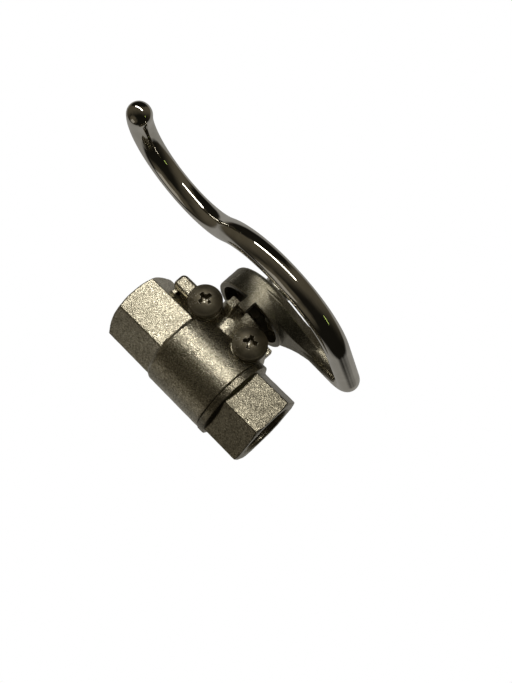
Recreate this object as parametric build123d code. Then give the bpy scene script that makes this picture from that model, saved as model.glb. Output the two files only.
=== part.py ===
from build123d import *
import math
import os

# Quarter-turn ball valve with a swan-neck lever, in millimetres.
# Modelled about the valve's centre, where the stem axis (Z) crosses the bore axis (X).
# The export moves the origin to the centre of the inlet's mouth.
# +X is the way the water flows, and +Z runs up the stem to the lever.

# Lengths along the bore, from the stem axis
inlet_x = -30.0           # mouth of the inlet
hexagon_end_x = -9.5      # where the inlet hexagon meets the round body
joint_x = 15.6            # face of the body that the end cap closes on
collar_end_x = 18.2
outlet_x = 33.0           # mouth of the outlet

# Outside sizes
inlet_flats = 25.0
outlet_flats = 25.5
outlet_hexagon_turn = -9.6  # degrees: where the end cap's hexagon stops when it is screwed home
body_r = 15.0
collar_r = 15.2
collar_cone_length = 0.9
inlet_break = 1.3         # length of the turned chamfer on the inlet's corners
outlet_break = 0.6
barrel_shoulder = 1.4     # rounding where the barrel meets the inlet hexagon
barrel_edge = 0.3
face_inset = 0.2          # how far the mouth's chamfer comes inside the flats
corner_clear = 2.2        # from the flats out past the hexagon's corners

# Flow passage
thread_r = 9.9            # pitch radius of a G 1/2 thread
thread_length = 13.0
mouth_break = 0.5
port_r = 6.0
ball_r = 9.5
cavity_r = 10.0
cap_thread_r = 10.9
cap_face_r = 13.1         # recess for the gasket in the body's face
seat_r = 9.0
seat_back_x = 9.6
seat_front_x = 5.7
gasket_height = 1.15
cap_front_x = 6.2         # end of the cap's spigot, clear of the stem's flange
running_gap = 0.05

# Stem and gland, heights from the bore axis
slot_floor_z = 6.9
slot_width = 4.6
tang_length = 9.6
stem_r = 4.5
stem_flange_r = 5.8
flange_z = 10.1
flange_height = 1.8
thrust_height = 1.0
stem_top_z = 45.0
boss_r = 9.5
boss_top_z = 23.0
boss_edge = 0.8
gland_r = 6.4
gland_floor_z = 16.6
packing_height = 1.1
follower_height = 0.8
gland_nut_flats = 14.0
gland_nut_height = 3.5
ring_section_r = 0.45
ring_heights = {"stem_o_ring_lower": 14.1, "stem_o_ring_upper": 15.5}

# Screw lugs beside the boss, with their screws square to the stem
lug_x = 10.5
lug_z = 14.0
lug_r = 5.7
lug_face_y = -10.5
lug_back_y = 3.0
spot_face_r = 6.5
screw_r = 3.0
screw_length = 8.0
screw_hole_spare = 0.4
screw_head_r = 5.9
screw_head_height = 3.9
screw_side_height = 1.6
screw_edge_r = 1.0
screw_dome_r = 9.0
recess_depth = 2.6
recess_reach = 2.6
recess_arm = 0.75         # half the width of an arm of the cross
recess_middle = 1.2       # half the side of the square that rounds the cross's inner corners
washer_height = 1.6
washer_gap = 0.9

# Ear over the inlet hexagon
ear_left_x = -24.1
ear_back_y = -3.0
ear_bottom_z = 11.2
ear_top_z = 17.1
ear_foot = 1.6
ear_round = 1.9
ear_front_round = 1.6

# Stop lugs on the body, and the tab on the hub that runs between them
stop_reach = 14.3
stop_width = 3.2
stop_top_z = 22.0
stop_nose_z = 18.4
stop_root_z = 16.0
tab_half_width = 1.7
tab_inner_r = 12.2
tab_bottom_z = 20.3
tab_gap = 0.2

# Lever
hub_r = 14.9
hub_rim_z = 24.95
hub_ceiling_z = 30.0
hub_top_z = 34.3
hub_edge_r = 1.8
cup_r = 12.8
crown_r = 6.7
crown_top_z = 37.3
rod_z = 33.0              # height of the rod's plane at the stem axis
rod_dip = 2.2             # degrees: how the plane drops along the arm
rod_lean = 5.8            # degrees: how it drops towards the bow
rod_r = 3.93
arm_length = 36.0

# The web from the hub to the arm, symmetrical about the pipe's axis
# Distance from the stem axis: ((half width, height) of the top, of the shoulder, of the bottom)
web_sections = {
    -6.0: ((11.0, 34.0), (13.3, 31.0), (12.0, 26.4)),
    1.0: ((12.9, 34.2), (14.98, 31.0), (13.6, 26.2)),
    8.0: ((11.6, 34.5), (13.6, 31.3), (12.2, 26.4)),
    14.0: ((7.6, 35.0), (10.1, 31.7), (7.9, 27.1)),
    20.0: ((4.0, 35.6), (6.3, 32.0), (4.3, 28.1)),
    28.0: ((2.0, 35.2), (3.85, 32.0), (2.0, 28.6)),
}

# The rod beyond the arm
bend_r = 4.4
bend_turn = 111.6
run_length = 19.9
bow_r = 29.5
bow_turn = 115.2
hook_r = 21.9
hook_turn = 154.2
drive_r = 4.0
drive_flats = 6.0
stem_thread_r = 2.95
lever_nut_flats = 10.0
lever_nut_height = 5.0


def turned_x(outline):
    """A solid turned about the bore axis from (x, radius) points."""
    return revolve(make_face(Polyline(*outline, close=True)), Axis.X)


def turned_z(outline):
    """A solid turned about the stem axis from (radius, height) points."""
    points = [(r, 0, z) for r, z in outline]
    return revolve(make_face(Polyline(*points, close=True)), Axis.Z)


def bar_x(radius, start, end):
    return turned_x([(start, 0), (end, 0), (end, radius), (start, radius)])


def bar_z(radius, bottom, top):
    return turned_z([(0, bottom), (radius, bottom), (radius, top), (0, top)])


def bar_y(radius, start, end, x, z):
    """A round bar along Y from start to end, about the line through x and z."""
    disc = Plane(origin=(x, start, z), x_dir=(1, 0, 0), z_dir=(0, 1, 0)) * Circle(radius)
    return extrude(disc, amount=end - start)


def block(low, high):
    """A box between two opposite corners."""
    size = [b - a for a, b in zip(low, high)]
    centre = [(a + b) / 2 for a, b in zip(low, high)]
    return Pos(*centre) * Box(*size)


def ring_z(inner, outer, bottom, top):
    return bar_z(outer, bottom, top) - bar_z(inner, bottom - 1, top + 1)


def hexagon_x(flats, start, end, turn=0.0):
    """A hexagonal bar along the bore, with a corner on top before the turn."""
    corner_r = flats / 2 / math.cos(math.radians(30))
    face = Plane.YZ.offset(start) * RegularPolygon(corner_r, 6, rotation=30 + turn)
    return extrude(face, amount=end - start)


def hexagon_nut(flats, bore_r, bottom, top):
    """A nut about the stem axis, its corners turned off at both ends."""
    corner_r = flats / 2 / math.cos(math.radians(30))
    nut = extrude(Plane.XY.offset(bottom) * RegularPolygon(corner_r, 6), amount=top - bottom)
    drop = (corner_r - flats / 2) * math.tan(math.radians(30))
    blank = turned_z([
        (0, bottom), (flats / 2, bottom), (corner_r + 0.01, bottom + drop),
        (corner_r + 0.01, top - drop), (flats / 2, top), (0, top),
    ])
    return (nut & blank) - bar_z(bore_r, bottom - 1, top + 1)


def socket_x(mouth, direction):
    """The threaded socket behind a mouth, and the port beyond it; direction is the way inwards."""
    points = [
        (0, 0), (0, thread_r + mouth_break), (mouth_break, thread_r), (thread_length, thread_r),
        (thread_length + 1.2, thread_r - 2.0), (thread_length + 1.2, port_r),
        (abs(mouth), port_r), (abs(mouth), 0),
    ]
    return turned_x([(mouth + direction * x, r) for x, r in points])


def outline_blank(mouth, direction, face_r, corner_r, corner_break, length):
    """The turned outline that takes the corners off a hexagon at its mouth."""
    points = [(0, 0), (0, face_r), (corner_break, corner_r), (length, corner_r), (length, 0)]
    return turned_x([(mouth + direction * x, r) for x, r in points])


def stop_lug():
    """A stop lug on the -Y side of the boss, its nose sloping back to the boss underneath."""
    points = [
        (0, -boss_r + 1.5, stop_root_z), (0, -stop_reach, stop_nose_z),
        (0, -stop_reach, stop_top_z), (0, -boss_r + 1.5, stop_top_z),
    ]
    return extrude(make_face(Polyline(*points, close=True)), amount=stop_width, dir=(1, 0, 0))


def screw_lug(side):
    """The boss that one screw goes into, kept clear of the end cap."""
    lug = bar_y(lug_r, lug_face_y, lug_back_y, side * lug_x, lug_z)
    reach = joint_x - 0.1
    return lug & block((-reach, lug_face_y - 1, 0), (reach, lug_back_y + 1, 30))


def cast_ear():
    """The bar over the inlet hexagon, rounded at its free end and undercut above the flat."""
    bar = block((ear_left_x, lug_face_y, ear_bottom_z), (-lug_x, ear_back_y, ear_top_z))
    bar = fillet(bar.edges().filter_by(Axis.Y).sort_by(Axis.X)[:2], ear_round)
    front_end = bar.edges().group_by(Axis.Y)[0].sort_by(Axis.X)[:3]
    bar = fillet(front_end, ear_front_round)
    foot_x = ear_left_x + ear_front_round
    foot = block((foot_x, lug_face_y + ear_round, 6.0), (foot_x + ear_foot, ear_back_y, 14.0))
    return bar + foot


def valve_body():
    hexagon = hexagon_x(inlet_flats, inlet_x, 0.0)
    half_flats = inlet_flats / 2
    hexagon &= outline_blank(
        inlet_x, 1, half_flats - face_inset, half_flats + corner_clear, inlet_break, -inlet_x)
    barrel = turned_x([
        (hexagon_end_x, 0), (hexagon_end_x, body_r - barrel_shoulder),
        (hexagon_end_x + 0.3 * barrel_shoulder, body_r - 0.4 * barrel_shoulder),
        (hexagon_end_x + barrel_shoulder, body_r), (joint_x - barrel_edge, body_r),
        (joint_x, body_r - barrel_edge), (joint_x, 0),
    ])
    boss = turned_z([
        (0, 0), (boss_r, 0), (boss_r, boss_top_z - boss_edge),
        (boss_r - boss_edge, boss_top_z), (0, boss_top_z),
    ])
    open_stop = Pos(-tab_half_width - tab_gap - stop_width, 0, 0) * stop_lug()
    shut_stop = Rot(0, 0, 90) * (Pos(tab_half_width + tab_gap, 0, 0) * stop_lug())
    body = hexagon + barrel + boss + screw_lug(-1) + screw_lug(1) + cast_ear() + open_stop + shut_stop
    hole_end_y = lug_face_y + screw_length - washer_height + screw_hole_spare
    for side in (-1, 1):
        body -= bar_y(spot_face_r, lug_face_y - 6, lug_face_y, side * lug_x, lug_z)
        body -= bar_y(screw_r, lug_face_y - 1, hole_end_y, side * lug_x, lug_z)
    body -= socket_x(inlet_x, 1)
    body -= bar_x(seat_r + running_gap, -seat_back_x, 0)
    body -= bar_x(cavity_r, -7.9, cap_front_x + 0.5)
    body -= bar_x(cap_thread_r, cap_front_x, joint_x + 1)
    body -= bar_x(cap_face_r, joint_x - gasket_height - running_gap, joint_x + 1)
    body -= bar_z(stem_flange_r + 0.2, 0, flange_z + flange_height + thrust_height + 0.1)
    body -= bar_z(stem_r + running_gap, 0, boss_top_z + 1)
    body -= bar_z(gland_r, gland_floor_z, boss_top_z + 1)
    return body


def end_cap():
    hexagon = hexagon_x(outlet_flats, joint_x + 0.5, outlet_x, outlet_hexagon_turn)
    half_flats = outlet_flats / 2
    cone_end_x = collar_end_x + collar_cone_length
    hexagon &= outline_blank(
        outlet_x, -1, half_flats + 0.6, half_flats + corner_clear, outlet_break, outlet_x - joint_x)
    collar = turned_x([
        (joint_x + 0.05, 0), (joint_x + 0.05, collar_r - 0.25), (joint_x + 0.3, collar_r),
        (collar_end_x, collar_r), (cone_end_x, half_flats), (cone_end_x, 0),
    ])
    # The hexagon's corners start where the cone has come down to them.
    hexagon &= turned_x([
        (joint_x, 0), (joint_x, 12.0), (cone_end_x - 0.2, half_flats - 0.1),
        (collar_end_x, 15.0), (outlet_x, 15.0), (outlet_x, 0),
    ])
    spigot = bar_x(cap_thread_r - running_gap, cap_front_x + running_gap, joint_x + 1)
    cap = hexagon + collar + spigot
    cap -= socket_x(outlet_x, -1)
    cap -= bar_x(seat_r + running_gap, 0, seat_back_x)
    return cap


def seat():
    """The inlet's seat ring; its working face is part of a sphere just clear of the ball."""
    back_x = running_gap - seat_back_x
    ring = turned_x([
        (back_x, port_r + 0.2), (back_x, seat_r), (-seat_front_x, seat_r), (-seat_front_x, port_r + 0.2),
    ])
    return ring - Sphere(ball_r + running_gap)


def ball():
    bored = Sphere(ball_r) - bar_x(port_r, -ball_r - 1, ball_r + 1)
    half_slot = slot_width / 2
    return bored - block((-half_slot, -ball_r - 1, slot_floor_z), (half_slot, ball_r + 1, ball_r + 1))


def stem():
    half_tang = slot_width / 2 - running_gap
    shoulder_z = hub_ceiling_z - running_gap
    blade = block((-half_tang, -tang_length / 2, slot_floor_z + 0.2), (half_tang, tang_length / 2, flange_z))
    blade &= bar_z(stem_flange_r - 0.6, 0, flange_z)
    rod = bar_z(stem_flange_r, flange_z, flange_z + flange_height) + bar_z(stem_r, flange_z, shoulder_z)
    drive = bar_z(drive_r, shoulder_z, crown_top_z)
    half_drive = drive_flats / 2
    drive &= block((-drive_r, -half_drive, 0), (drive_r, half_drive, stem_top_z))
    thread = bar_z(stem_thread_r, shoulder_z, stem_top_z - 0.5)
    tip = turned_z([
        (0, crown_top_z), (stem_thread_r, crown_top_z), (stem_thread_r, stem_top_z - 0.5),
        (stem_thread_r - 0.5, stem_top_z), (0, stem_top_z),
    ])
    whole = blade + rod + drive + thread + tip
    for height in ring_heights.values():
        whole -= ring_z(stem_r - 2 * ring_section_r, stem_r + 1, height - 0.5, height + 0.5)
    return whole


def o_ring(height):
    section = Plane.XZ * Pos(stem_r - ring_section_r + 0.01, height) * Circle(ring_section_r - 0.02)
    return revolve(section, Axis.Z)


def packing_ring(level):
    bottom = gland_floor_z + running_gap + level * (packing_height + running_gap)
    return ring_z(stem_r + running_gap, gland_r - running_gap, bottom, bottom + packing_height)


def gland_follower():
    bottom = gland_floor_z + running_gap + 2 * (packing_height + running_gap)
    return ring_z(stem_r + 0.1, gland_r - 0.1, bottom, bottom + follower_height)


def gland_nut():
    bottom = gland_floor_z + 2 * running_gap + 2 * (packing_height + running_gap) + follower_height
    plug = ring_z(stem_r + 0.1, gland_r - running_gap, bottom, boss_top_z + 0.5)
    head_z = boss_top_z + running_gap
    return plug + hexagon_nut(gland_nut_flats, stem_r + 0.1, head_z, head_z + gland_nut_height)


def recess_part(half_x, half_z):
    """A rectangular pit in a screw head that faces -Y, narrowing to its floor."""
    mouth = Plane(origin=(0, 0, 0), x_dir=(1, 0, 0), z_dir=(0, -1, 0)) * Rectangle(2 * half_x, 2 * half_z)
    deep = Plane(origin=(0, recess_depth, 0), x_dir=(1, 0, 0), z_dir=(0, -1, 0))
    return loft([mouth, deep * Rectangle(1.1 * half_x, 1.4 * half_z)])


def cross_recess():
    """The cross cut in a screw head, its inner corners filled out by a square pit."""
    arms = recess_part(recess_reach, recess_arm) + recess_part(recess_arm, recess_reach)
    return arms + recess_part(recess_middle, recess_middle)


def lug_screw(side, turn):
    """A pan-head screw with a domed head and a cross recess, pointing along +Y."""
    base = lug_face_y - washer_height
    top = base - screw_head_height
    shoulder = base - screw_side_height
    outline = Line((0, base), (screw_head_r - 0.2, base))
    outline += Line((screw_head_r - 0.2, base), (screw_head_r, base - 0.4))
    outline += Line((screw_head_r, base - 0.4), (screw_head_r, shoulder))
    outline += RadiusArc((screw_head_r, shoulder), (screw_head_r - 0.7, shoulder - 0.6), screw_edge_r)
    outline += RadiusArc((screw_head_r - 0.7, shoulder - 0.6), (0, top), screw_dome_r)
    outline += Line((0, top), (0, base))
    half = make_face(outline)
    head = revolve(half, Axis.Y)
    tip = base + screw_length
    shank_r = screw_r - running_gap
    shank = revolve(make_face(Polyline(
        (0, base - 0.5), (shank_r, base - 0.5), (shank_r, tip - 0.6), (screw_r - 0.6, tip), (0, tip),
        close=True)), Axis.Y)
    recess = Pos(0, top - 0.1, 0) * cross_recess()
    return Pos(side * lug_x, 0, lug_z) * (Rot(0, turn, 0) * (head + shank - recess))


def spring_washer(inner, outer, height, gap):
    """A split washer lying on z = 0."""
    split = Rot(0, 0, 20) * block((0, -gap / 2, -1), (outer + 1, gap / 2, height + 1))
    return ring_z(inner, outer, 0, height) - split


def lug_spring_washer(side, turn):
    washer = spring_washer(screw_r + 0.2, screw_head_r - 0.05, washer_height - 2 * running_gap, washer_gap)
    lying = Rot(90, 0, 0) * washer
    return Pos(side * lug_x, lug_face_y - running_gap, lug_z) * (Rot(0, turn, 0) * lying)


def lever_path():
    """The rod's centre line, all in one plane: out along the pipe, round the bend and back past the hub."""
    arm = Line((hub_r - 4, 0), (arm_length, 0))
    bend = JernArc(arm @ 1, arm % 1, bend_r, -bend_turn)
    run = Line(bend @ 1, bend @ 1 + (bend % 1) * run_length)
    bow = JernArc(run @ 1, run % 1, bow_r, -bow_turn)
    hook = JernArc(bow @ 1, bow % 1, hook_r, hook_turn)
    return Pos(0, 0, rod_z) * Rot(0, rod_dip, 0) * Rot(rod_lean, 0, 0) * (arm + bend + run + bow + hook)


def lever_arm():
    """The web that narrows from the hub to the round arm."""
    sections = []
    for x, (top, shoulder, bottom) in web_sections.items():
        right = [(x, half_width, z) for half_width, z in (top, shoulder, bottom)]
        left = [(x, -half_width, z) for half_width, z in (bottom, shoulder, top)]
        sections.append(make_face(Polyline(*right, *left, close=True)))
    return loft(sections)


def lever():
    rim = hub_rim_z
    shell = make_face(
        Polyline((0, 0, rim), (hub_r, 0, rim), (hub_r, 0, hub_top_z - hub_edge_r))
        + ThreePointArc(
            (hub_r, 0, hub_top_z - hub_edge_r),
            (hub_r - hub_edge_r * 0.293, 0, hub_top_z - hub_edge_r * 0.293),
            (hub_r - hub_edge_r, 0, hub_top_z))
        + Polyline((hub_r - hub_edge_r, 0, hub_top_z), (0, 0, hub_top_z), (0, 0, rim))
    )
    hub = revolve(shell, Axis.Z)
    crown = turned_z([
        (0, hub_top_z - 1), (crown_r, hub_top_z - 1), (crown_r, crown_top_z - 0.5),
        (crown_r - 0.5, crown_top_z), (0, crown_top_z),
    ])
    path = lever_path()
    start = Plane(origin=path @ 0, z_dir=path % 0)
    rod = sweep(start * Circle(rod_r), path=path)
    tip = Pos(*(path @ 1)) * Sphere(rod_r)
    tab = block((-tab_half_width, -hub_r, tab_bottom_z), (tab_half_width, -tab_inner_r, rim + 2))
    tab &= bar_z(hub_r, 0, hub_top_z)
    casting = hub + crown + lever_arm() + rod + tip
    casting -= bar_z(cup_r, rim - 5, hub_ceiling_z)
    casting += tab
    half_drive = drive_flats / 2 + running_gap
    bore = bar_z(drive_r + running_gap, rim, crown_top_z + 1)
    bore &= block((-10, -half_drive, 0), (10, half_drive, 60))
    return casting - bore


def lever_spring_washer():
    washer = spring_washer(stem_thread_r + 0.15, 5.3, 1.4, washer_gap)
    return Pos(0, 0, crown_top_z + running_gap) * washer


def lever_nut():
    bottom = crown_top_z + 1.4 + 2 * running_gap
    return hexagon_nut(lever_nut_flats, stem_thread_r + running_gap, bottom, bottom + lever_nut_height)


def body_gasket():
    inner, outer = cap_thread_r + 0.1, cap_face_r - 0.1
    return turned_x([
        (joint_x - gasket_height, inner), (joint_x - gasket_height, outer),
        (joint_x, outer), (joint_x, inner),
    ])


def thrust_washer():
    bottom = flange_z + flange_height + running_gap
    return ring_z(stem_r + 0.1, stem_flange_r, bottom, bottom + thrust_height)


nodes = {
    "valve_body": valve_body(),
    "end_cap": end_cap(),
    "body_gasket": body_gasket(),
    "inlet_seat": seat(),
    "outlet_seat": Rot(0, 0, 180) * seat(),
    "ball": ball(),
    "stem": stem(),
    "thrust_washer": thrust_washer(),
    "packing_ring_lower": packing_ring(0),
    "packing_ring_upper": packing_ring(1),
    "gland_follower": gland_follower(),
    "gland_nut": gland_nut(),
    "lever": lever(),
    "lever_spring_washer": lever_spring_washer(),
    "lever_nut": lever_nut(),
    "lug_screws": Compound(children=[lug_screw(-1, 8), lug_screw(1, 62)]),
    "lug_spring_washers": Compound(children=[lug_spring_washer(-1, 120), lug_spring_washer(1, 200)]),
}
for ring_name, ring_z_height in ring_heights.items():
    nodes[ring_name] = o_ring(ring_z_height)

os.makedirs("parts", exist_ok=True)
for name, shape in nodes.items():
    export_step(Pos(-inlet_x, 0, 0) * shape, f"parts/{name}.step")
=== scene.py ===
import math

import bpy
import bmesh
from mathutils import Matrix, Vector, noise


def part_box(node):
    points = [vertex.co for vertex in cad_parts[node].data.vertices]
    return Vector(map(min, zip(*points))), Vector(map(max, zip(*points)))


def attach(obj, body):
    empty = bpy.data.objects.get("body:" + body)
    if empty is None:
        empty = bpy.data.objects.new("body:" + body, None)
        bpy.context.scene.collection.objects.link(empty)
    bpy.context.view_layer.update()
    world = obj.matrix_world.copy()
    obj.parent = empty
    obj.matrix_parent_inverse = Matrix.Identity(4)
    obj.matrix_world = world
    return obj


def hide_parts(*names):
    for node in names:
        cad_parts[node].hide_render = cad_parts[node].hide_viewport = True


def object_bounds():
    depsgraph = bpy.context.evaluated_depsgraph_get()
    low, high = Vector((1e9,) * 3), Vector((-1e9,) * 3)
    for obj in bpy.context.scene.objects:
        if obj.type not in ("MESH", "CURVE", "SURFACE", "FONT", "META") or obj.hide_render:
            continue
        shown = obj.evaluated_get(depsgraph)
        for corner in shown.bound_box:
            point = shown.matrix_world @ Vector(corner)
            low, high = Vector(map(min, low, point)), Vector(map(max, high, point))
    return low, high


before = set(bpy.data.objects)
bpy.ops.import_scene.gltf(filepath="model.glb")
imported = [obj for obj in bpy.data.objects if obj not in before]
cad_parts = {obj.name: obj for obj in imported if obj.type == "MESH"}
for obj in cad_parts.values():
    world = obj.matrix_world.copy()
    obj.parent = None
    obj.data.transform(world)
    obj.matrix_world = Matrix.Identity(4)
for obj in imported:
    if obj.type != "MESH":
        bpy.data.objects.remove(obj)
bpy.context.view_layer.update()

MM = 0.001
STEM_X = 30.0             # mm from the inlet's mouth to the stem axis
MOST_TRIANGLES = 190000   # in one piece

# The rod's centre line, as in the CAD
ROD_Z = 33.0
ROD_DIP = 2.2
ROD_LEAN = 5.8
ROD_R = 3.93
ARM_LENGTH = 36.0
BEND_R = 4.4
BEND_TURN = 111.6
RUN_LENGTH = 19.9
BOW_R = 29.5
BOW_TURN = 115.2
HOOK_R = 21.9
HOOK_TURN = 154.2
ROD_STEP = 0.55           # between rings
ROD_START = 18.5          # where the round rod begins, inside the web
ROD_SWELL = 0.45          # how much thinner it is there, and the length over which that goes
ROD_SWELL_LENGTH = 5.0
POLISH_START = 29.0       # along the centre line
POLISH_LENGTH = 9.0

# Sockets in the two pipe ends
THREAD_TOP_R = 9.95
THREAD_DEPTH = 0.75
THREAD_PITCH = 1.81
THREAD_TURNS = 6
THREAD_INSET = 1.2        # of the first turn from the mouth
THREAD_HALF_WIDTH = 0.46  # of the ridge's foot, in pitches
# The ridge's section: (share of the half width, share of the depth)
THREAD_SECTION = ((-1.0, 0.0), (-0.62, 0.45), (-0.16, 1.0), (0.16, 1.0), (0.62, 0.45), (1.0, 0.0))

# Where the lever's casting ends and the separate rod takes over
HUB_END_X = STEM_X + 27.0
HUB_END_Y = -15.3


# ---------------------------------------------------------------- materials

class Tree:
    """A short way to write a material's node tree."""

    def __init__(self, name):
        self.material = bpy.data.materials.new(name)
        self.material.use_nodes = True
        self.nodes = self.material.node_tree.nodes
        self.links = self.material.node_tree.links
        self.nodes.clear()
        self.shader = self.nodes.new("ShaderNodeBsdfPrincipled")
        out = self.nodes.new("ShaderNodeOutputMaterial")
        self.links.new(self.shader.outputs[0], out.inputs[0])
        self.place = self.nodes.new("ShaderNodeTexCoord").outputs["Object"]

    def put(self, socket, value):
        if isinstance(value, bpy.types.NodeSocket):
            self.links.new(value, socket)
        else:
            socket.default_value = value

    def node(self, kind, **inputs):
        made = self.nodes.new(kind)
        for key, value in inputs.items():
            self.put(made.inputs[key.replace("_", " ")], value)
        return made

    def math(self, operation, a, b=0.0, c=0.0, clamp=False):
        made = self.nodes.new("ShaderNodeMath")
        made.operation = operation
        made.use_clamp = clamp
        for socket, value in zip(made.inputs, (a, b, c)):
            self.put(socket, value)
        return made.outputs[0]

    def scaled(self, x, y, z, place=None):
        made = self.nodes.new("ShaderNodeMapping")
        self.put(made.inputs["Vector"], place or self.place)
        made.inputs["Scale"].default_value = (x, y, z)
        return made.outputs[0]

    def noise(self, scale, detail=3.0, rough=0.5, place=None, warp=0.0):
        made = self.node("ShaderNodeTexNoise", Scale=scale, Detail=detail, Roughness=rough, Distortion=warp)
        self.put(made.inputs["Vector"], place or self.place)
        return made.outputs["Fac"]

    def cells(self, scale, place=None):
        made = self.nodes.new("ShaderNodeTexVoronoi")
        self.put(made.inputs["Vector"], place or self.place)
        made.inputs["Scale"].default_value = scale
        return made.outputs["Distance"]

    def span(self, value, low, high, to_low=0.0, to_high=1.0):
        made = self.nodes.new("ShaderNodeMapRange")
        made.interpolation_type = "SMOOTHSTEP"
        self.put(made.inputs["Value"], value)
        for key, number in (("From Min", low), ("From Max", high), ("To Min", to_low), ("To Max", to_high)):
            self.put(made.inputs[key], number)
        return made.outputs[0]

    def mix(self, factor, a, b):
        made = self.nodes.new("ShaderNodeMix")
        made.data_type = "RGBA"
        self.put(made.inputs[0], factor)
        for socket, value in ((made.inputs[6], a), (made.inputs[7], b)):
            self.put(socket, (*value, 1.0) if isinstance(value, tuple) else value)
        return made.outputs[2]

    def bump(self, height, distance, strength=1.0, below=None):
        made = self.node("ShaderNodeBump", Strength=strength, Distance=distance, Height=height)
        if below is not None:
            self.put(made.inputs["Normal"], below)
        return made.outputs[0]

    def painted_corner_shade(self, low=0.40, high=0.50):
        """Mask for painted shade: 1 in inner corners, 0 elsewhere."""
        point = self.nodes.new("ShaderNodeNewGeometry").outputs["Pointiness"]
        return self.span(point, high, low)

    def edge(self, low=0.51, high=0.56):
        point = self.nodes.new("ShaderNodeNewGeometry").outputs["Pointiness"]
        return self.span(point, low, high)

    def finish(self, color, rough, normal=None, metallic=1.0, **more):
        self.put(self.shader.inputs["Base Color"], (*color, 1.0) if isinstance(color, tuple) else color)
        self.put(self.shader.inputs["Roughness"], rough)
        self.put(self.shader.inputs["Metallic"], metallic)
        if normal is not None:
            self.put(self.shader.inputs["Normal"], normal)
        for key, value in more.items():
            self.put(self.shader.inputs[key.replace("_", " ")], value)
        return self.material


def cast_nickel(name, seed, light, dark):
    """Nickel plate over shot-blasted brass: bright grain, dull stains, painted shade in inner corners and
    worn edges.
    """
    t = Tree(name)
    place = t.nodes.new("ShaderNodeMapping")
    t.put(place.inputs["Vector"], t.place)
    place.inputs["Location"].default_value = (seed, -seed, 0.5 * seed)
    place = place.outputs[0]
    pits = t.cells(2300.0, place)
    fine = t.noise(2700.0, 2.0, 0.6, place)
    coarse = t.noise(1300.0, 3.0, 0.6, place)
    stain = t.noise(120.0, 5.0, 0.62, place, 0.4)
    drawn = t.noise(1.0, 3.0, 0.6, t.scaled(350.0, 2600.0, 2600.0, place))
    fine_speck = t.math("MULTIPLY", t.span(fine, 0.40, 0.60), 0.6)
    coarse_speck = t.math("MULTIPLY", t.span(coarse, 0.38, 0.62), 0.4)
    speck = t.math("MULTIPLY", t.math("ADD", fine_speck, coarse_speck), 0.85)
    shade = t.math("ADD", speck, t.math("MULTIPLY", t.span(stain, 0.32, 0.68), 0.15))
    color = t.mix(shade, dark, light)
    # Painted shade: inner corners darkened towards near black.
    color = t.mix(t.math("MULTIPLY", t.painted_corner_shade(), 0.8), color, (0.05, 0.043, 0.03))
    color = t.mix(t.math("MULTIPLY", t.edge(), 0.3), color, (0.30, 0.28, 0.22))
    pitted = t.math("MULTIPLY", t.span(pits, 0.1, 0.6), 0.07)
    rough = t.math("ADD", t.span(stain, 0.3, 0.7, 0.29, 0.21), pitted)
    dents = t.bump(coarse, 0.12 * MM, 0.30)
    dents = t.bump(drawn, 0.05 * MM, 0.20, dents)
    dents = t.bump(pits, 0.12 * MM, 0.50, dents)
    dents = t.bump(fine, 0.12 * MM, 0.60, dents)
    return t.finish(color, rough, dents)


def lever_metal(name, seed, polished):
    """The lever's casting: matt and grainy at the hub and arm, polished where the polish attribute says, with
    painted shade in inner corners and convex edges painted bright as rubbed wear and painted highlight.
    """
    t = Tree(name)
    grainy = t.noise(2600.0, 3.0, 0.6)
    lumps = t.noise(420.0 + seed, 4.0, 0.6)
    stain = t.noise(90.0 + seed, 5.0, 0.6, None, 0.5)
    matt = t.mix(t.span(stain, 0.3, 0.7), (0.15, 0.138, 0.10), (0.27, 0.25, 0.195))
    matt = t.mix(t.math("MULTIPLY", t.span(grainy, 0.48, 0.62), 0.5), matt, (0.60, 0.57, 0.48))
    # Painted shade: inner corners darkened.
    matt = t.mix(t.math("MULTIPLY", t.painted_corner_shade(), 0.7), matt, (0.04, 0.036, 0.026))
    # Convex edges painted bright: rubbed wear, and a painted highlight along the arm's ridge.
    matt = t.mix(t.math("MULTIPLY", t.edge(0.51, 0.54), 0.55), matt, (0.80, 0.76, 0.64))
    rough_matt = t.span(grainy, 0.3, 0.7, 0.33, 0.46)
    matt_dents = t.bump(grainy, 0.11 * MM, 0.6, t.bump(lumps, 0.16 * MM, 0.35))
    if not polished:
        return t.finish(matt, rough_matt, matt_dents)
    polish = t.node("ShaderNodeAttribute")
    polish.attribute_name = "polish"
    ragged = t.math("MULTIPLY_ADD", lumps, 0.3, -0.15)
    amount = t.span(t.math("ADD", polish.outputs["Fac"], ragged), 0.25, 0.75)
    bright = t.mix(t.span(stain, 0.35, 0.65), (0.60, 0.58, 0.53), (0.72, 0.70, 0.65))
    color = t.mix(amount, matt, bright)
    wipes = t.noise(1.0, 4.0, 0.6, t.scaled(160.0, 160.0, 1400.0))
    hazy = t.math("MULTIPLY", t.span(stain, 0.55, 0.75), 0.05)
    gloss = t.math("ADD", t.span(wipes, 0.35, 0.7, 0.035, 0.085), hazy)
    keep = t.math("SUBTRACT", 1.0, amount)
    rough = t.math("ADD", t.math("MULTIPLY", gloss, amount), t.math("MULTIPLY", rough_matt, keep))
    waves = t.bump(t.noise(300.0, 2.0, 0.5), 0.04 * MM, 0.25)
    grains = t.bump(t.math("MULTIPLY", grainy, keep), 0.11 * MM, 0.6, waves)
    return t.finish(color, rough, grains)


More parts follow.
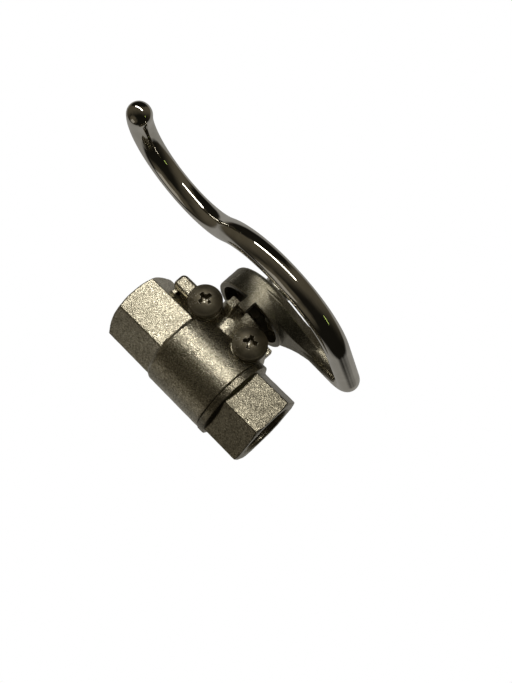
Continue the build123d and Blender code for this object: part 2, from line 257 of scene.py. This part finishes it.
def screw_metal(name, light=(0.30, 0.27, 0.205), dark=(0.20, 0.178, 0.13)):
    """Dull zinc plate, with painted shade in its corners and its edges painted bright as highlight and rubbed
    smoother.
    """
    t = Tree(name)
    stain = t.noise(260.0, 5.0, 0.6, None, 0.6)
    fine = t.noise(3200.0, 3.0, 0.6)
    color = t.mix(t.span(stain, 0.3, 0.7), dark, light)
    # Painted shade: corners and the cross recess darkened.
    color = t.mix(t.math("MULTIPLY", t.painted_corner_shade(0.36, 0.48), 0.6), color, (0.03, 0.026, 0.02))
    # Painted highlight: edges lightened towards pale zinc.
    color = t.mix(t.math("MULTIPLY", t.edge(0.515, 0.56), 0.8), color, (0.80, 0.77, 0.69))
    rough = t.math("ADD", t.span(stain, 0.3, 0.7, 0.50, 0.60), t.math("MULTIPLY", t.edge(0.515, 0.56), -0.2))
    normal = t.bump(fine, 0.05 * MM, 0.5, t.bump(stain, 0.2 * MM, 0.2))
    return t.finish(color, rough, normal)


def turned_steel(name, light, dark, rings=2200.0, rough_low=0.22, rough_high=0.38):
    """Turned or stamped metal with fine marks and a little staining."""
    t = Tree(name)
    marks = t.noise(1.0, 3.0, 0.6, t.scaled(180.0, 180.0, rings))
    stain = t.noise(300.0, 4.0, 0.6)
    color = t.mix(t.span(stain, 0.3, 0.7), dark, light)
    color = t.mix(t.math("MULTIPLY", t.edge(), 0.4), color, (0.8, 0.78, 0.72))
    rough = t.span(marks, 0.3, 0.7, rough_low, rough_high)
    return t.finish(color, rough, t.bump(marks, 0.02 * MM, 0.5, t.bump(stain, 0.05 * MM, 0.2)))


def soft_plastic(name, light, dark, rough_low, rough_high):
    """White PTFE or black rubber: faint mottling and a fine moulded skin."""
    t = Tree(name)
    cloud = t.noise(260.0, 4.0, 0.6)
    skin = t.noise(2800.0, 2.0, 0.5)
    color = t.mix(t.span(cloud, 0.3, 0.7), dark, light)
    rough = t.span(skin, 0.3, 0.7, rough_low, rough_high)
    return t.finish(color, rough, t.bump(skin, 0.02 * MM, 0.4, t.bump(cloud, 0.06 * MM, 0.2)), 0.0)


# ------------------------------------------------------------------- meshes

def add(name, mesh, material, body, replaced=()):
    mesh.name = name
    made = bpy.data.objects.new(name, mesh)
    bpy.context.scene.collection.objects.link(made)
    mesh.materials.clear()
    mesh.materials.append(material)
    for face in mesh.polygons:
        face.use_smooth = True
    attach(made, body)
    if replaced:
        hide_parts(*replaced)
    return made


def softened(mesh, voxel, passes):
    """The mesh remade in small even faces, with every edge and inner corner rounded as a casting's are."""
    mesh = mesh.copy()
    for name in [layer.name for layer in mesh.uv_layers]:
        mesh.uv_layers.remove(mesh.uv_layers[name])
    work = bpy.data.objects.new("work", mesh)
    bpy.context.scene.collection.objects.link(work)
    remesh = work.modifiers.new("remesh", "REMESH")
    remesh.mode = "VOXEL"
    remesh.voxel_size = voxel * MM
    smooth = work.modifiers.new("smooth", "SMOOTH")
    smooth.factor = 0.5
    smooth.iterations = passes
    bpy.context.view_layer.update()
    made = bpy.data.meshes.new_from_object(work.evaluated_get(bpy.context.evaluated_depsgraph_get()))
    triangles = sum(len(face.vertices) - 2 for face in made.polygons)
    if triangles > MOST_TRIANGLES:
        thin = work.modifiers.new("thin", "DECIMATE")
        thin.ratio = MOST_TRIANGLES / triangles
        bpy.context.view_layer.update()
        made = bpy.data.meshes.new_from_object(work.evaluated_get(bpy.context.evaluated_depsgraph_get()))
    bpy.data.objects.remove(work)
    return made


def roughened(mesh, amount, size, offset=0.0):
    """Pushes the points in or out a little, as a sand-cast skin waves; amount and size are in mm."""
    normals = [vertex.normal.copy() for vertex in mesh.vertices]
    for vertex, normal in zip(mesh.vertices, normals):
        place = vertex.co / (size * MM) + Vector((offset, 0, 0))
        vertex.co += normal * (noise.noise(place) - 0.6) * amount * MM
    return mesh


def cut(mesh, *planes):
    """The part of the mesh behind each (point, normal) plane, closed again."""
    work = bmesh.new()
    work.from_mesh(mesh)
    bmesh.ops.remove_doubles(work, verts=work.verts[:], dist=0.002 * MM)
    for point, normal in planes:
        bmesh.ops.bisect_plane(
            work, geom=work.verts[:] + work.edges[:] + work.faces[:],
            plane_co=Vector(point) * MM, plane_no=normal, clear_outer=True)
        open_edges = [edge for edge in work.edges if edge.is_boundary]
        bmesh.ops.holes_fill(work, edges=open_edges)
    made = bpy.data.meshes.new("cut")
    work.to_mesh(made)
    work.free()
    return made


def rod_path(step):
    """(point, direction, share of the way) along the rod's centre line, in mm in the row's frame."""
    place, heading, out = Vector((0.0, 0.0)), 0.0, []
    travelled = 0.0
    legs = [
        (ARM_LENGTH, 0.0), (BEND_R, -BEND_TURN), (RUN_LENGTH, 0.0),
        (BOW_R, -BOW_TURN), (HOOK_R, HOOK_TURN),
    ]
    for size, turn in legs:
        angle = math.radians(turn)
        length = size if turn == 0.0 else size * abs(angle)
        spacing = min(step, BEND_R * math.radians(4.0)) if size == BEND_R else step
        count = max(2, round(length / spacing))
        for i in range(count):
            part = i / count
            if turn == 0.0:
                at = place + Vector((math.cos(heading), math.sin(heading))) * length * part
                now = heading
            else:
                side = math.copysign(1.0, angle)
                centre = place + side * size * Vector((-math.sin(heading), math.cos(heading)))
                now = heading + angle * part
                at = centre + side * size * Vector((math.sin(now), -math.cos(now)))
            out.append((at.copy(), now, travelled + length * part))
        if turn == 0.0:
            place = place + Vector((math.cos(heading), math.sin(heading))) * length
        else:
            heading += angle
            place = centre + side * size * Vector((math.sin(heading), -math.cos(heading)))
        travelled += length
    out.append((place.copy(), heading, travelled))
    tilt = Matrix.Rotation(math.radians(ROD_DIP), 3, "Y")
    tilt = tilt @ Matrix.Rotation(math.radians(ROD_LEAN), 3, "X")
    lift = Vector((STEM_X, 0.0, ROD_Z))
    path = []
    for at, now, length in out:
        point = tilt @ Vector((at.x, at.y, 0.0)) + lift
        ahead = tilt @ Vector((math.cos(now), math.sin(now), 0.0))
        path.append((point, ahead, length))
    return path, tilt @ Vector((0.0, 0.0, 1.0))


def rod_mesh(start, sides):
    """The round rod from inside the arm to its domed end; its polish attribute grows from arm to bow."""
    path, up = rod_path(ROD_STEP)
    path = [entry for entry in path if entry[2] >= start]
    rings = []
    for point, ahead, length in path:
        swell = min(1.0, (length - start) / ROD_SWELL_LENGTH)
        swell = swell * swell * (3.0 - 2.0 * swell)
        polish = min(1.0, max(0.0, (length - POLISH_START) / POLISH_LENGTH))
        rings.append((point, ahead, (ROD_R - ROD_SWELL) + ROD_SWELL * swell, polish))
    tip, ahead, _ = path[-1]
    dome = 12
    for i in range(1, dome):
        angle = math.radians(90.0 * i / dome)
        rings.append((tip + ahead * math.sin(angle) * ROD_R, ahead, ROD_R * math.cos(angle), 1.0))
    points, faces, polishes = [], [], []
    for point, ahead, radius, polish in rings:
        side = up.cross(ahead).normalized()
        for k in range(sides):
            angle = 2.0 * math.pi * k / sides
            points.append((point + (side * math.cos(angle) + up * math.sin(angle)) * radius) * MM)
            polishes.append(polish)
    for i in range(len(rings) - 1):
        for k in range(sides):
            a, b = i * sides + k, i * sides + (k + 1) % sides
            faces.append((a, b, b + sides, a + sides))
    for ring, point in ((0, rings[0][0]), (len(rings) - 1, tip + ahead * ROD_R)):
        centre = len(points)
        points.append(point * MM)
        polishes.append(1.0 if ring else 0.0)
        for k in range(sides):
            a, b = ring * sides + k, ring * sides + (k + 1) % sides
            faces.append((a, b, centre) if ring else (b, a, centre))
    mesh = bpy.data.meshes.new("rod")
    mesh.from_pydata([tuple(p) for p in points], [], faces)
    attribute = mesh.attributes.new("polish", "FLOAT", "POINT")
    attribute.data.foreach_set("value", polishes)
    fix = bmesh.new()
    fix.from_mesh(mesh)
    bmesh.ops.recalc_face_normals(fix, faces=fix.faces[:])
    fix.to_mesh(mesh)
    fix.free()
    return mesh


def thread_mesh(mouth_x, inwards):
    """A helical ridge standing in from a socket's wall, fading out at both ends, in metres."""
    around, profile = 72, len(THREAD_SECTION)
    points, faces = [], []
    count = THREAD_TURNS * around
    for i in range(count + 1):
        turn = i / around
        angle = 2.0 * math.pi * turn
        fade = min(1.0, 2.5 * turn, 2.5 * (THREAD_TURNS - turn)) * 0.97 + 0.03
        along = mouth_x + inwards * (THREAD_INSET + THREAD_PITCH * turn)
        width = THREAD_PITCH * THREAD_HALF_WIDTH
        for share, depth in THREAD_SECTION:
            radius = THREAD_TOP_R - depth * THREAD_DEPTH * fade
            y, z = radius * math.cos(angle), inwards * radius * math.sin(angle)
            points.append(((along + share * width) * MM, y * MM, z * MM))
    for i in range(count):
        for j in range(profile):
            a, b = i * profile + j, i * profile + (j + 1) % profile
            faces.append((a, b, b + profile, a + profile))
    faces.append(tuple(range(profile)))
    faces.append(tuple(count * profile + j for j in reversed(range(profile))))
    mesh = bpy.data.meshes.new("thread")
    mesh.from_pydata(points, [], faces)
    fix = bmesh.new()
    fix.from_mesh(mesh)
    bmesh.ops.recalc_face_normals(fix, faces=fix.faces[:])
    fix.to_mesh(mesh)
    fix.free()
    return mesh


def bevelled(node, width, segments=2):
    """Rounds the sharp edges of a CAD node that is shown as it is."""
    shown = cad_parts[node]
    bevel = shown.modifiers.new("bevel", "BEVEL")
    bevel.width = width * MM
    bevel.segments = segments
    bevel.limit_method = "ANGLE"
    bevel.angle_limit = math.radians(35)
    bevel.harden_normals = True


def paint(node, material):
    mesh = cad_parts[node].data
    mesh.materials.clear()
    mesh.materials.append(material)


nickel_body = cast_nickel("nickel_body", 0.0, (0.80, 0.755, 0.62), (0.20, 0.18, 0.13))
# The cap's nickel is a darker copy of the body's: painted shade for its less brightly lit flats.
nickel_cap_painted_shade = cast_nickel("nickel_cap_painted_shade", 0.37, (0.50, 0.465, 0.37), (0.11, 0.099, 0.072))
thread_metal = turned_steel("thread_metal", (0.52, 0.48, 0.38), (0.36, 0.33, 0.25))
lever_matt = lever_metal("lever_cast", 0.0, False)
lever_shine = lever_metal("lever_rod", 13.0, True)
zinc = screw_metal("screw_zinc")
# The spring washers are painted near black: painted shadow under the screw heads.
black = screw_metal("washer_painted_shadow", (0.05, 0.047, 0.04), (0.02, 0.018, 0.015))
steel = turned_steel("steel", (0.50, 0.48, 0.43), (0.36, 0.34, 0.29))
stem_metal = turned_steel("stem_metal", (0.56, 0.52, 0.42), (0.42, 0.39, 0.30))
gland_metal = turned_steel("gland_metal", (0.42, 0.39, 0.31), (0.25, 0.23, 0.18), 900.0, 0.30, 0.44)
chrome = turned_steel("ball_chrome", (0.80, 0.80, 0.80), (0.70, 0.70, 0.70), 1500.0, 0.04, 0.09)
ptfe = soft_plastic("ptfe", (0.88, 0.87, 0.83), (0.80, 0.79, 0.75), 0.40, 0.52)
rubber = soft_plastic("rubber", (0.035, 0.035, 0.035), (0.02, 0.02, 0.02), 0.50, 0.65)

body_mesh = softened(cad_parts["valve_body"].data, 0.22, 4)
add("valve_body_cast", roughened(body_mesh, 0.05, 2.2), nickel_body, "casing", ["valve_body"])
cap_mesh = softened(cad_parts["end_cap"].data, 0.20, 3)
add("end_cap_cast", roughened(cap_mesh, 0.04, 2.2, 7.0), nickel_cap_painted_shade, "casing", ["end_cap"])
outlet_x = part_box("end_cap")[1][0] / MM
add("inlet_thread", thread_mesh(0.0, 1.0), thread_metal, "casing")
add("outlet_thread", thread_mesh(outlet_x, -1.0), thread_metal, "casing")

hub_mesh = cut(
    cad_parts["lever"].data,
    ((HUB_END_X, 0.0, 0.0), (1.0, 0.0, 0.0)), ((0.0, HUB_END_Y, 0.0), (0.0, -1.0, 0.0)))
hub_mesh = roughened(softened(hub_mesh, 0.20, 5), 0.05, 1.9, 3.0)
add("lever_hub_cast", hub_mesh, lever_matt, "lever", ["lever"])
add("lever_rod", rod_mesh(ROD_START, 56), lever_shine, "lever")

screw_mesh = softened(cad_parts["lug_screws"].data, 0.10, 2)
add("lug_screws_plated", screw_mesh, zinc, "casing", ["lug_screws"])

for node, material in {
    "lug_spring_washers": black,
    "body_gasket": ptfe, "inlet_seat": ptfe, "outlet_seat": ptfe, "thrust_washer": ptfe,
    "packing_ring_lower": ptfe, "packing_ring_upper": ptfe,
    "stem_o_ring_lower": rubber, "stem_o_ring_upper": rubber,
    "ball": chrome, "stem": stem_metal, "gland_follower": steel, "gland_nut": gland_metal,
    "lever_nut": steel, "lever_spring_washer": steel,
}.items():
    paint(node, material)
for node, width in {
    "lug_spring_washers": 0.15, "gland_nut": 0.25, "lever_nut": 0.18,
    "lever_spring_washer": 0.12, "stem": 0.12,
}.items():
    bevelled(node, width)


# ------------------------------------------------------- floor, light, camera

AZIMUTH, ELEVATION, ROLL = 11.84, -15.24, 47.08
CAMERA_PLACE = (86.2, -228.1, -43.7)
LIT_PLACE = (0.03, -0.01, 0.012)


def camera_axes():
    """Right, up and backward directions of the camera, which looks up at the valve and is rolled."""
    azimuth, elevation, roll = (math.radians(angle) for angle in (AZIMUTH, ELEVATION, ROLL))
    back = Vector((
        math.sin(azimuth) * math.cos(elevation),
        -math.cos(azimuth) * math.cos(elevation),
        math.sin(elevation)))
    level = Vector((math.cos(azimuth), math.sin(azimuth), 0.0))
    above = back.cross(level)
    right = math.cos(roll) * level + math.sin(roll) * above
    up = -math.sin(roll) * level + math.cos(roll) * above
    return right, up, back


RIGHT, UP, BACK = camera_axes()
ROOM_DARK = (0.009, 0.008, 0.006)
ROOM_BROWN = (0.092, 0.079, 0.055)
BACKDROP = (0.30, 0.29, 0.27)


def make_camera():
    data = bpy.data.cameras.new("camera")
    camera = bpy.data.objects.new("camera", data)
    bpy.context.scene.collection.objects.link(camera)
    place = Vector(CAMERA_PLACE) * MM
    turn = Matrix((RIGHT, UP, BACK)).transposed().to_4x4()
    camera.matrix_world = Matrix.Translation(place) @ turn
    data.sensor_width = 36.0
    data.lens = 36.9
    data.clip_start = 0.005
    data.dof.use_dof = False
    bpy.context.scene.camera = camera


def area_light(name, direction, distance, width, height, power, color=(1.0, 1.0, 1.0), along=None):
    """A soft light aimed at the object from a direction in the row's frame; its width runs along."""
    data = bpy.data.lights.new(name, "AREA")
    data.shape = "RECTANGLE"
    data.size, data.size_y = width, height
    data.energy = power
    data.color = color
    lamp = bpy.data.objects.new(name, data)
    bpy.context.scene.collection.objects.link(lamp)
    target = Vector(LIT_PLACE)
    back = direction.normalized()
    across = back.cross(along or Vector((0.0, 0.0, 1.0))).normalized()
    turn = Matrix((across.cross(back), across, back)).transposed().to_4x4()
    lamp.matrix_world = Matrix.Translation(target + back * distance) @ turn
    return lamp


def make_world():
    """White behind the object, which reflects a dim brown room and a pale backdrop."""
    world = bpy.data.worlds.new("studio")
    bpy.context.scene.world = world
    world.use_nodes = True
    t = Tree.__new__(Tree)
    t.nodes, t.links = world.node_tree.nodes, world.node_tree.links
    t.nodes.clear()
    t.place = t.nodes.new("ShaderNodeTexCoord").outputs["Generated"]

    def towards(direction):
        dot = t.nodes.new("ShaderNodeVectorMath")
        dot.operation = "DOT_PRODUCT"
        t.put(dot.inputs[0], t.place)
        dot.inputs[1].default_value = tuple(direction)
        return dot.outputs["Value"]

    cloud = t.noise(2.2, 3.0, 0.5)
    above = t.math("ADD", towards(UP), t.math("MULTIPLY_ADD", cloud, 0.5, -0.25))
    color = t.mix(t.span(above, -0.5, 0.5), ROOM_DARK, ROOM_BROWN)
    color = t.mix(t.span(above, 0.72, 0.86), color, ROOM_DARK)
    wavy = t.math("MULTIPLY_ADD", cloud, 0.3, -0.15)
    under = t.math("ADD", towards(Vector((0.0, 0.0, -1.0))), wavy)
    color = t.mix(t.span(under, 0.80, 0.96), color, ROOM_BROWN)
    behind = t.math("ADD", towards(-BACK), wavy)
    color = t.mix(t.span(behind, 0.36, 0.56), color, BACKDROP)
    out = t.nodes.new("ShaderNodeOutputWorld")
    mix = t.nodes.new("ShaderNodeMixShader")
    white = t.node("ShaderNodeBackground", Color=(1.0, 1.0, 1.0, 1.0))
    room = t.node("ShaderNodeBackground", Color=color)
    t.put(mix.inputs[0], t.nodes.new("ShaderNodeLightPath").outputs["Is Camera Ray"])
    t.put(mix.inputs[1], room.outputs[0])
    t.put(mix.inputs[2], white.outputs[0])
    t.put(out.inputs[0], mix.outputs[0])


def make_floor():
    """A pale round floor under the valve that fades into the white; seen from below it isn't there."""
    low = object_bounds()[0].z - 0.0002
    work = bmesh.new()
    bmesh.ops.create_circle(work, cap_ends=True, radius=0.6, segments=96)
    mesh = bpy.data.meshes.new("floor")
    work.to_mesh(mesh)
    work.free()
    floor = bpy.data.objects.new("floor", mesh)
    bpy.context.scene.collection.objects.link(floor)
    floor.location = (0.03, -0.01, low)
    t = Tree("floor_pale")
    radius = t.nodes.new("ShaderNodeVectorMath")
    radius.operation = "LENGTH"
    t.put(radius.inputs[0], t.place)
    fade = t.span(radius.outputs["Value"], 0.12, 0.5, 1.0, 0.0)
    behind = t.math("SUBTRACT", 1.0, t.nodes.new("ShaderNodeNewGeometry").outputs["Backfacing"])
    t.finish((0.88, 0.88, 0.87), t.span(t.noise(60.0, 4.0), 0.3, 0.7, 0.75, 0.9), None, 0.0)
    t.put(t.shader.inputs["Alpha"], t.math("MULTIPLY", fade, behind))
    mesh.materials.append(t.material)
    floor.visible_glossy = False


make_camera()
make_world()
make_floor()
bpy.context.scene.view_settings.view_transform = "Standard"
# name, direction, distance, width, height, power, colour and the way the width runs
area_light("key", Vector((-0.28, -0.90, 0.30)), 0.55, 0.62, 0.06, 1.15, (1.0, 0.965, 0.88), RIGHT - 0.9 * UP)
area_light("low", Vector((-0.18, 0.26, -1.0)), 0.6, 0.32, 0.26, 0.075, (1.0, 0.95, 0.86))
area_light("leaves", Vector((0.90, -0.40, 0.27)), 0.6, 0.12, 0.02, 0.014, (0.75, 1.0, 0.25), RIGHT - 0.9 * UP)
# These two light the floor and the pale plastic, but aren't mirrored in the metal.
for lamp in (
    area_light("top", Vector((0.1, 0.35, 1.0)), 0.6, 0.4, 0.4, 2.6),
    area_light("rear", Vector((-0.4, 1.0, 0.35)), 0.6, 0.3, 0.3, 1.0),
):
    lamp.visible_glossy = False
